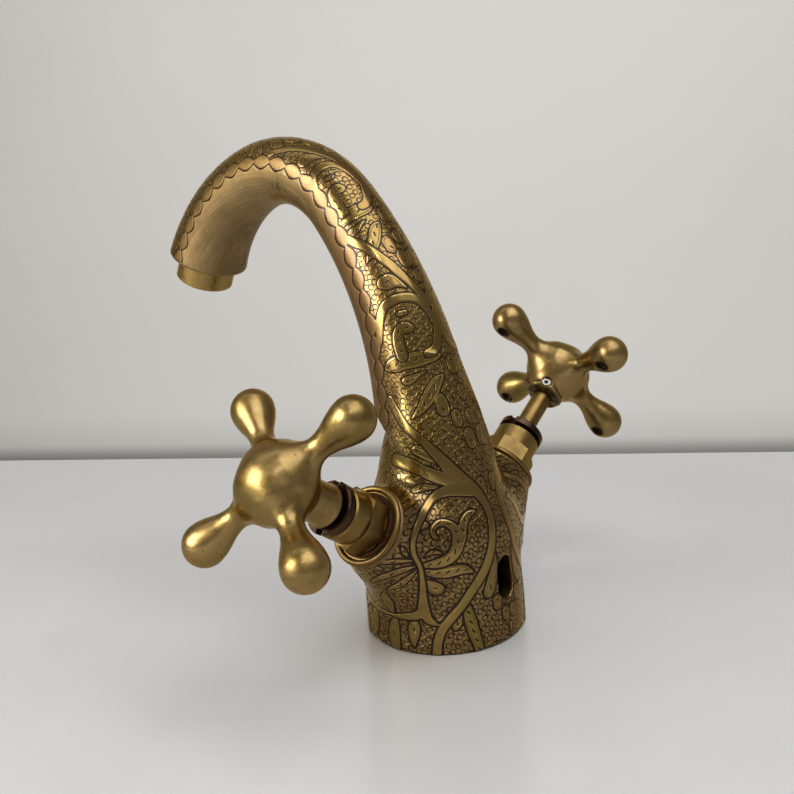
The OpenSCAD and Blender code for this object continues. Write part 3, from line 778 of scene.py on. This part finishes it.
def engraved_brass():
    """The casting: polished straps and leaves, punched ground, brushed inside."""
    n = Nodes("engraved_brass")
    S1, S2, S3 = n.parts("figure")
    along, across, middle = n.parts("detail")
    u, v, deep = n.parts("around")
    outer, inner, plain = n.parts("border")
    at = n.place()
    wobble = n.math("MULTIPLY", n.math("SUBTRACT", n.noise(at, 260.0, 2.0), 0.5), 0.2)
    S1, S2, S3, outer, inner = (n.math("ADD", S, wobble) for S in (S1, S2, S3, outer, inner))
    half = n.math("ADD", 0.13, n.math("MULTIPLY", deep, 0.09))

    def line(value, width=half, soft=0.16):
        size = n.math("ABSOLUTE", value)
        return n.ramp(n.math("SUBTRACT", size, width), 0.0, soft, 1.0, 0.0)

    def above(value, level=0.18):
        return n.math("GREATER_THAN", value, level)

    engraved = n.math("LESS_THAN", inner, 0.0)
    clear1 = above(S1)
    clear2 = n.times(clear1, above(S2))
    ground = n.times(clear2, above(S3), engraved)
    outline = n.most(line(S1), n.times(line(S2), clear1), n.times(line(S3), clear2))
    on_arch = n.math("GREATER_THAN", v, 96.0)
    rim_line = n.math("ADD", half, 0.05)
    inner_line = n.times(line(inner, rim_line), n.most(clear1, on_arch))
    outline = n.most(n.times(outline, engraved), inner_line, line(outer, rim_line))
    veins = n.times(line(n.math("ADD", S3, 0.85), 0.02, 0.12), clear2, engraved, 0.5)

    uv = n.add("ShaderNodeCombineXYZ")
    n.put(uv.inputs[0], u)
    n.put(uv.inputs[1], v)
    ring = n.times(ring_punches(n, uv.outputs[0], at, deep), ground)
    tick = tick_marks(n, along, across, n.math("GREATER_THAN", middle, 0.5))
    tick = n.times(tick, n.math("LESS_THAN", n.math("MINIMUM", S2, S3), -0.5), clear1, engraved)

    # where the cuts hold dirt, and a painted shadow line along the mouth's edge
    dark = n.most(outline, n.times(ring, 0.95), n.times(tick, 0.95), veins)
    # painted shadow: a dark line along the mouth's edge, where it meets the aerator collar
    mouth_edge_shadow = n.ramp(v, SPOUT_LEN - 0.6, SPOUT_LEN - 0.15, 0.0, 0.85)
    dark = n.most(n.times(dark, n.math("SUBTRACT", 1.0, plain)), mouth_edge_shadow)

    # colour: golden and olive in patches, browner on the flanks and the border
    patina = n.ramp(n.noise(at, 38.0, 5.0, 0.6), 0.34, 0.68)
    fine = n.noise(at, 300.0, 3.0)
    warm = n.ramp(n.noise(at, 16.0, 2.0), 0.42, 0.60)
    strip = n.ramp(outer, -0.3, 0.5)
    edging = n.times(n.ramp(inner, -0.5, 0.3), 0.85)
    flank = n.most(n.ramp(inner, -7.0, -2.5), n.ramp(u, 3.0, 10.0, 1.0, 0.0))
    russet = n.math("MULTIPLY", n.math("ADD", 0.25, n.math("MULTIPLY", warm, 0.75)), flank)
    bare = n.mix(n.times(russet, 0.85), n.mix(patina, GOLD, OLIVE), RUSSET)
    bare = n.mix(edging, bare, BORDER_BROWN)

    # the brushed inside of the curve, with marks along it and a few scratches across
    lengthwise = n.noise(uv.outputs[0], 1.5, 2.0, 0.5, (1.0, 0.03, 1.0))
    crossing = n.noise(uv.outputs[0], 0.30, 1.0, 0.5, (0.3, 4.0, 1.0))
    scratch = n.ramp(n.math("ABSOLUTE", n.math("SUBTRACT", crossing, 0.5)), 0.003, 0.011, 1.0, 0.0)
    scratch = n.times(scratch, n.ramp(n.noise(at, 75.0, 1.0), 0.56, 0.60), strip)
    inside = n.mix(patina, BRUSHED[0], BRUSHED[1])
    inside = n.mix(n.ramp(lengthwise, 0.45, 0.7, 0.0, 0.6), inside, BRUSHED[2])
    bare = n.mix(strip, bare, n.mix(scratch, inside, DARK))
    stem = n.times(n.ramp(v, 70.0, 106.0, 1.0, 0.0), n.most(strip, edging), 0.7)
    bare = n.mix(stem, bare, STEM_BROWN)
    bare = n.mix(n.ramp(fine, 0.5, 0.75, 0.0, 0.3), bare, BROWN)
    low = n.mix(n.ramp(fine, 0.3, 0.6), BROWN, GROUND_BROWN)
    colour = n.mix(n.times(ground, n.math("ADD", 0.2, n.math("MULTIPLY", deep, 0.6))), bare, low)
    colour = n.mix(dark, colour, DARK)

    # surface: polished outside the brushed strip, rougher in the cuts
    scratches = n.noise(at, 500.0, 2.0, 0.5, (1.0, 1.0, 0.08))
    satin = n.ramp(scratches, 0.35, 0.65, 0.34, 0.48)
    polished = n.ramp(fine, 0.3, 0.8, 0.17, 0.27)
    surface = n.add("ShaderNodeMix", data_type="FLOAT")
    for k, value in ((0, strip), (2, polished), (3, satin)):
        n.put(surface.inputs[k], value)
    dull = n.math("MULTIPLY", n.most(dark, n.times(edging, 0.6)), 0.3)
    roughness = n.math("ADD", dull, surface.outputs[0])
    height = n.most(outline, n.times(ring, 0.6), n.times(tick, 0.9), veins)
    normal = n.bump(n.math("SUBTRACT", 1.0, height), 0.00022)
    normal = n.bump(n.math("ADD", n.times(fine, 0.5), n.times(scratches, 0.3)), 0.00003, normal)
    normal = n.bump(lengthwise, 0.00003, normal)
    return n.finish(colour, roughness, 1.0, normal, coat=0.3)


def cast_brass():
    """The handles: satin brass with pits and stains, and painted shade in its hollows."""
    n = Nodes("cast_brass")
    at = n.place()
    patina = n.ramp(n.noise(at, 60.0, 6.0, 0.65), 0.38, 0.62)
    fine = n.noise(at, 420.0, 3.0)
    some = n.ramp(n.noise(at, 110.0, 2.0), 0.50, 0.60)
    pit = n.times(n.ramp(n.noise(at, 1300.0, 2.0, 0.6), 0.66, 0.72), some)
    streak = n.ramp(n.noise(at, 150.0, 4.0, 0.65, (0.5, 0.5, 2.2)), 0.50, 0.66, 0.0, 0.45)
    hollow_shade = n.parts("hollow_shade")[0]
    colour = n.mix(patina, CAST[0], CAST[1])
    colour = n.mix(n.ramp(fine, 0.55, 0.8, 0.0, 0.35), colour, BROWN)
    stain = n.ramp(n.noise(at, 42.0, 5.0, 0.75), 0.55, 0.70, 0.0, 0.6)
    colour = n.mix(streak, colour, CAST_STREAK)
    colour = n.mix(stain, colour, CAST_STAIN)
    # painted shade: near black in the pits, bore and grub hole and at the rough skirt end
    colour = n.mix(n.ramp(hollow_shade, 0.0, 0.9, 0.0, 0.92), colour, DARK)
    colour = n.mix(pit, colour, DARK)
    roughness = n.math("ADD", n.ramp(fine, 0.3, 0.8, 0.29, 0.41), n.times(n.most(pit, hollow_shade), 0.35))
    roughness = n.math("ADD", roughness, n.times(streak, 0.15))
    scratches = n.noise(at, 900.0, 2.0, 0.5, (1.0, 0.06, 1.0))
    normal = n.bump(n.math("SUBTRACT", 1.0, pit), 0.00012)
    normal = n.bump(n.math("ADD", n.times(fine, 0.7), n.times(scratches, 0.3)), 0.00006, normal)
    return n.finish(colour, roughness, 1.0, normal, coat=0.3)


def turned_brass(name, light, dark, rough, tarnish):
    """Machined brass with tarnish and a fine grain."""
    n = Nodes(name)
    at = n.place()
    stain = n.ramp(n.noise(at, 90.0, 4.0, 0.55), 0.38, 0.72, 0.0, tarnish)
    fine = n.noise(at, 500.0, 2.0)
    colour = n.mix(stain, light, dark)
    colour = n.mix(n.ramp(fine, 0.6, 0.8, 0.0, 0.25), colour, BROWN)
    normal = n.bump(fine, 0.000005)
    return n.finish(colour, n.ramp(fine, 0.3, 0.8, rough, rough + 0.10), 1.0, normal, coat=0.15)


def plain_stuff(name, light, dark, rough, scale, metallic):
    """Rubber, fibre, plastic or steel, with a grain."""
    n = Nodes(name)
    at = n.place()
    grain = n.noise(at, scale, 4.0)
    colour = n.mix(n.ramp(grain, 0.3, 0.7), light, dark)
    roughness = n.ramp(grain, 0.3, 0.7, rough, rough + 0.15)
    return n.finish(colour, roughness, metallic, n.bump(grain, 0.00005))


# Turned brass: light and dark colour, roughness, and how much is tarnished.
TURNED = {
    "aged_brass": ((0.185, 0.114, 0.032, 1), (0.095, 0.050, 0.018, 1), 0.36, 0.85),
    "bright_brass": ((0.30, 0.196, 0.058, 1), (0.19, 0.116, 0.030, 1), 0.26, 0.75),
    "valve_brass": ((0.20, 0.126, 0.036, 1), (0.10, 0.058, 0.016, 1), 0.34, 0.85),
    # dark_brass is nearly black: painted shade for the parts in the shadowed gap between handle skirt and
    # bonnet
    "dark_brass": ((0.055, 0.028, 0.015, 1), (0.02, 0.009, 0.006, 1), 0.3, 0.9),
}
# The rest: light and dark colour, roughness, scale of the grain, and metal or not.
PLAIN = {
    "steel": ((0.34, 0.33, 0.30, 1), (0.20, 0.19, 0.17, 1), 0.34, 500.0, 1.0),
    "rubber": ((0.02, 0.02, 0.02, 1), (0.04, 0.04, 0.038, 1), 0.6, 400.0, 0.0),
    "fibre": ((0.060, 0.026, 0.009, 1), (0.030, 0.012, 0.005, 1), 0.9, 900.0, 0.0),
    "white_plastic": ((0.80, 0.79, 0.74, 1), (0.70, 0.69, 0.64, 1), 0.4, 400.0, 0.0),
}
MATERIALS = {"engraved_brass": engraved_brass(), "cast_brass": cast_brass()}
MATERIALS.update({name: turned_brass(name, *values) for name, values in TURNED.items()})
MATERIALS.update({name: plain_stuff(name, *values) for name, values in PLAIN.items()})

for part in frame["record"]["subparts"]:
    node = frame["nodes"][part["node"]]
    node.data.materials.clear()
    node.data.materials.append(MATERIALS[part["material_slot"]])

# the valve bodies and rods are duller than the collar, with small rounded edges
for side in SIDES:
    for name in ("bonnet", "spindle"):
        frame["nodes"][side + "_" + name].data.materials[0] = MATERIALS["valve_brass"]
    for name, width in (("bonnet", 0.25), ("gland_nut", 0.25), ("spindle", 0.15)):
        bevel = frame["nodes"][side + "_" + name].modifiers.new("edge", "BEVEL")
        bevel.width = width * MM
        bevel.segments = 2
        bevel.limit_method = "ANGLE"
        bevel.angle_limit = radians(35)
        bevel.harden_normals = True

# -------------------------------------------------------------------- casting
def corner_normals(P, faces):
    """Smooth normals of a mesh of quads."""
    across = np.cross(P[faces[:, 2]] - P[faces[:, 0]], P[faces[:, 3]] - P[faces[:, 1]])
    N = np.zeros_like(P)
    for k in range(4):
        for axis in range(3):
            N[:, axis] += np.bincount(faces[:, k], across[:, axis], len(P))
    return N / np.maximum(np.linalg.norm(N, axis=1), 1e-12)[:, None]


CELL = 0.36  # spacing of the grid, in millimetres
HANDLE_CELL = 0.42
PARTING = 62.0  # length up the spout at which each half of the casting is parted
SKIN = 0.8  # what lies deeper than this below the outer surface is the inside
P, N, quads = net_of(casting, (-41, -124, -3), (41, 29, 160), CELL)
figure, detail, around, border = engraving(P, N)
hidden = (outside(P) < -SKIN)[quads].all(1)
P = P - relief(figure, around, border)[:, None] * N
N = corner_normals(P, quads)
right = (P[:, 0][quads].mean(1) > 0) & ~hidden
left = ~right & ~hidden
spout_part = around[:, 1][quads].mean(1) > PARTING
for name, chosen, finish in (("casting_right", right & ~spout_part, "engraved_brass"),
                             ("casting_left", left & ~spout_part, "engraved_brass"),
                             ("spout_right", right & spout_part, "engraved_brass"),
                             ("spout_left", left & spout_part, "engraved_brass"),
                             ("casting_inside", hidden, "aged_brass")):
    used, faces = np.unique(quads[chosen], return_inverse=True)
    values = ()
    if finish == "engraved_brass":
        values = (("figure", figure[used]), ("detail", detail[used]),
                  ("around", around[used]), ("border", border[used]))
    skin = make_object(name, P[used], faces.reshape(-1, 4), values)
    skin.data.normals_split_custom_set_from_vertices(N[used].tolist())
    skin.data.materials.append(MATERIALS[finish])
    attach(skin, "mixer_body")
    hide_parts("body_casting")

# -------------------------------------------------------------------- handles
for side, (distance, phase, skirt) in HANDLES.items():
    reach = BALL_X + BALL_R + 2
    torn = 1.0 if side == "hot" else 0.0
    P, _, quads = net_of(lambda Q: handle(Q, skirt, torn),
                         (-reach, -reach, -22), (reach, reach, 14), HANDLE_CELL)
    # painted shade: darkest in and near the pits, the bore and the grub hole, and at the rough end of the
    # hot skirt
    rim = 0.7 * np.exp(-np.clip(P[:, 2] + skirt, 0, 9) / 0.7) * torn
    hollow_shade = np.maximum(np.clip(1 - handle_cuts(P) / 0.8, 0, 1), rim)
    turn = Matrix.Translation((0, 0, CROSS_Z)) @ Matrix.Rotation(SIDES[side] * (pi / 2 - TILT), 4, "Y") \
        @ Matrix.Translation((0, 0, distance)) @ Matrix.Rotation(radians(phase), 4, "Z")
    M = np.array(turn)
    obj = make_object(side + "_handle_cast", P @ M[:3, :3].T + M[:3, 3], quads,
                      [("hollow_shade", np.repeat(hollow_shade[:, None], 3, 1))])
    obj.data.materials.append(MATERIALS["cast_brass"])
    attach(obj, side + "_control")
    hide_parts(side + "_handle")

# ---------------------------------------------------------------------- stage
# The camera stands where the photograph was taken from; the angles are its own.
CAMERA_AT = (208.7, 175.5, 129.3)
AZIMUTH, ELEVATION, ROLL = radians(132.0), radians(8.5), radians(-3.7)
TABLE_EDGE, TABLE_TURN, WALL_AWAY = 188.0, radians(30.8), 1700.0

view_back = np.array([sin(AZIMUTH) * cos(ELEVATION), -cos(AZIMUTH) * cos(ELEVATION), sin(ELEVATION)])
level = np.array([cos(AZIMUTH), sin(AZIMUTH), 0.0])
upright = np.cross(view_back, level)
view_right = level * cos(ROLL) + upright * sin(ROLL)
view_up = upright * cos(ROLL) - level * sin(ROLL)
camera = bpy.data.objects.new("camera", bpy.data.cameras.new("camera"))
camera.data.lens = 41.04
camera.data.sensor_width = 36.0
camera.data.shift_x, camera.data.shift_y = -0.0034, -0.0654
camera.data.clip_start = 0.01
pose = np.eye(4)
pose[:3] = np.stack([view_right, view_up, view_back, np.array(CAMERA_AT) * MM], 1)
camera.matrix_world = Matrix(pose.tolist())
bpy.context.scene.collection.objects.link(camera)
bpy.context.scene.camera = camera


def stage_mesh(name, corners, faces, material):
    """A mesh of the stage, from millimetre corners."""
    obj = make_object(name, np.array(corners, float), np.array(faces))
    obj.data.materials.append(material)
    return obj


def stone():
    """The pale, slightly cloudy table top."""
    n = Nodes("pale_stone")
    at = n.place()
    cloud = n.ramp(n.noise(at, 7.0, 5.0, 0.6), 0.42, 0.62)
    colour = n.mix(cloud, (0.90, 0.90, 0.895, 1), (0.86, 0.86, 0.855, 1))
    n.finish(colour, 0.28, 0.0)
    n.shader.inputs["Specular IOR Level"].default_value = 0.5
    return n.material


def wall_paint():
    """The pale wall, with a soft painted shade where the table's edge meets it in view."""
    n = Nodes("pale_wall")
    at = n.place()
    cloud = n.noise(at, 2.5, 3.0)
    split = n.add("ShaderNodeSeparateXYZ")
    n.put(split.inputs[0], at)
    # painted shade: darkest at the table's edge in view, fading upwards, and back to pale further down
    shade = n.math("ADD", n.ramp(split.outputs[2], -0.430, -0.385, 0.7, 0.0),
                   n.ramp(split.outputs[2], -0.420, -0.300, 0.25, 0.0))
    shade = n.times(shade, n.ramp(split.outputs[2], -0.64, -0.47))
    paint = n.mix(cloud, (0.72, 0.705, 0.68, 1), (0.67, 0.655, 0.63, 1))
    return n.finish(n.mix(shade, paint, (0.22, 0.215, 0.20, 1)), 0.8, 0.0)


# a table top that ends behind the object, and a wall far beyond it
away = np.array([-cos(TABLE_TURN), -sin(TABLE_TURN), 0.0])
aside = np.array([-sin(TABLE_TURN), cos(TABLE_TURN), 0.0])
down = np.array([0, 0, -30.0])
BOX_FACES = [[0, 3, 2, 1], [4, 5, 6, 7], [0, 1, 5, 4], [1, 2, 6, 5], [2, 3, 7, 6], [3, 0, 4, 7]]
edge_line = [away * TABLE_EDGE - aside * 4000, away * TABLE_EDGE + aside * 4000]
front_line = [edge_line[1] - away * 5000, edge_line[0] - away * 5000]
top = edge_line + front_line
stage_mesh("table_top", top + [c + down for c in top], BOX_FACES, stone())
wall = [away * WALL_AWAY + aside * x + np.array([0, 0, z]) for x, z in
        ((-5000, -2500), (5000, -2500), (5000, 1300), (-5000, 1300))]
stage_mesh("wall", wall, [[0, 1, 2, 3]], wall_paint())


def area_light(name, place, target, size, power, colour):
    """A rectangular light at a place, turned to its target."""
    light = bpy.data.lights.new(name, "AREA")
    light.shape = "RECTANGLE"
    light.size, light.size_y = size
    light.energy = power
    light.color = colour
    obj = bpy.data.objects.new(name, light)
    obj.location = place
    obj.rotation_euler = (Vector(target) - Vector(place)).to_track_quat("-Z", "Y").to_euler()
    bpy.context.scene.collection.objects.link(obj)


def relative(toward, aside, high):
    """A place by distance toward the camera, to its right, and height, in metres."""
    out = np.array([sin(AZIMUTH), -cos(AZIMUTH), 0.0]) * toward
    side = np.array([cos(AZIMUTH), sin(AZIMUTH), 0.0]) * aside
    return tuple(out + side + np.array([0, 0, high]))


MIDDLE = (0, -0.03, 0.07)
WARM, COOL = (1.0, 0.99, 0.97), (0.97, 0.98, 1.0)
area_light("window", relative(0.42, -0.98, 0.52), MIDDLE, (0.75, 0.65), 21.0, WARM)
area_light("sky", relative(0.6, 0.5, 1.7), MIDDLE, (1.5, 1.5), 26.0, COOL)
area_light("lamp", relative(0.75, -0.10, 0.85), MIDDLE, (0.06, 0.06), 0.8, (1.0, 0.98, 0.94))
for name, place, target, power in (
        ("wall_low", relative(-0.4, 0.0, -1.9), relative(-1.7, 0.0, -0.2), 11.0),
        ("wall_high", relative(-0.4, -0.7, 2.4), relative(-1.7, -0.6, 0.4), 10.0)):
    area_light(name, place, target, (3.0, 0.6), power, WARM)

world = bpy.data.worlds.new("studio")
world.use_nodes = True
world.node_tree.nodes["Background"].inputs[0].default_value = (0.80, 0.79, 0.77, 1)
world.node_tree.nodes["Background"].inputs[1].default_value = 0.38
bpy.context.scene.world = world
bpy.context.scene.view_settings.view_transform = "Standard"
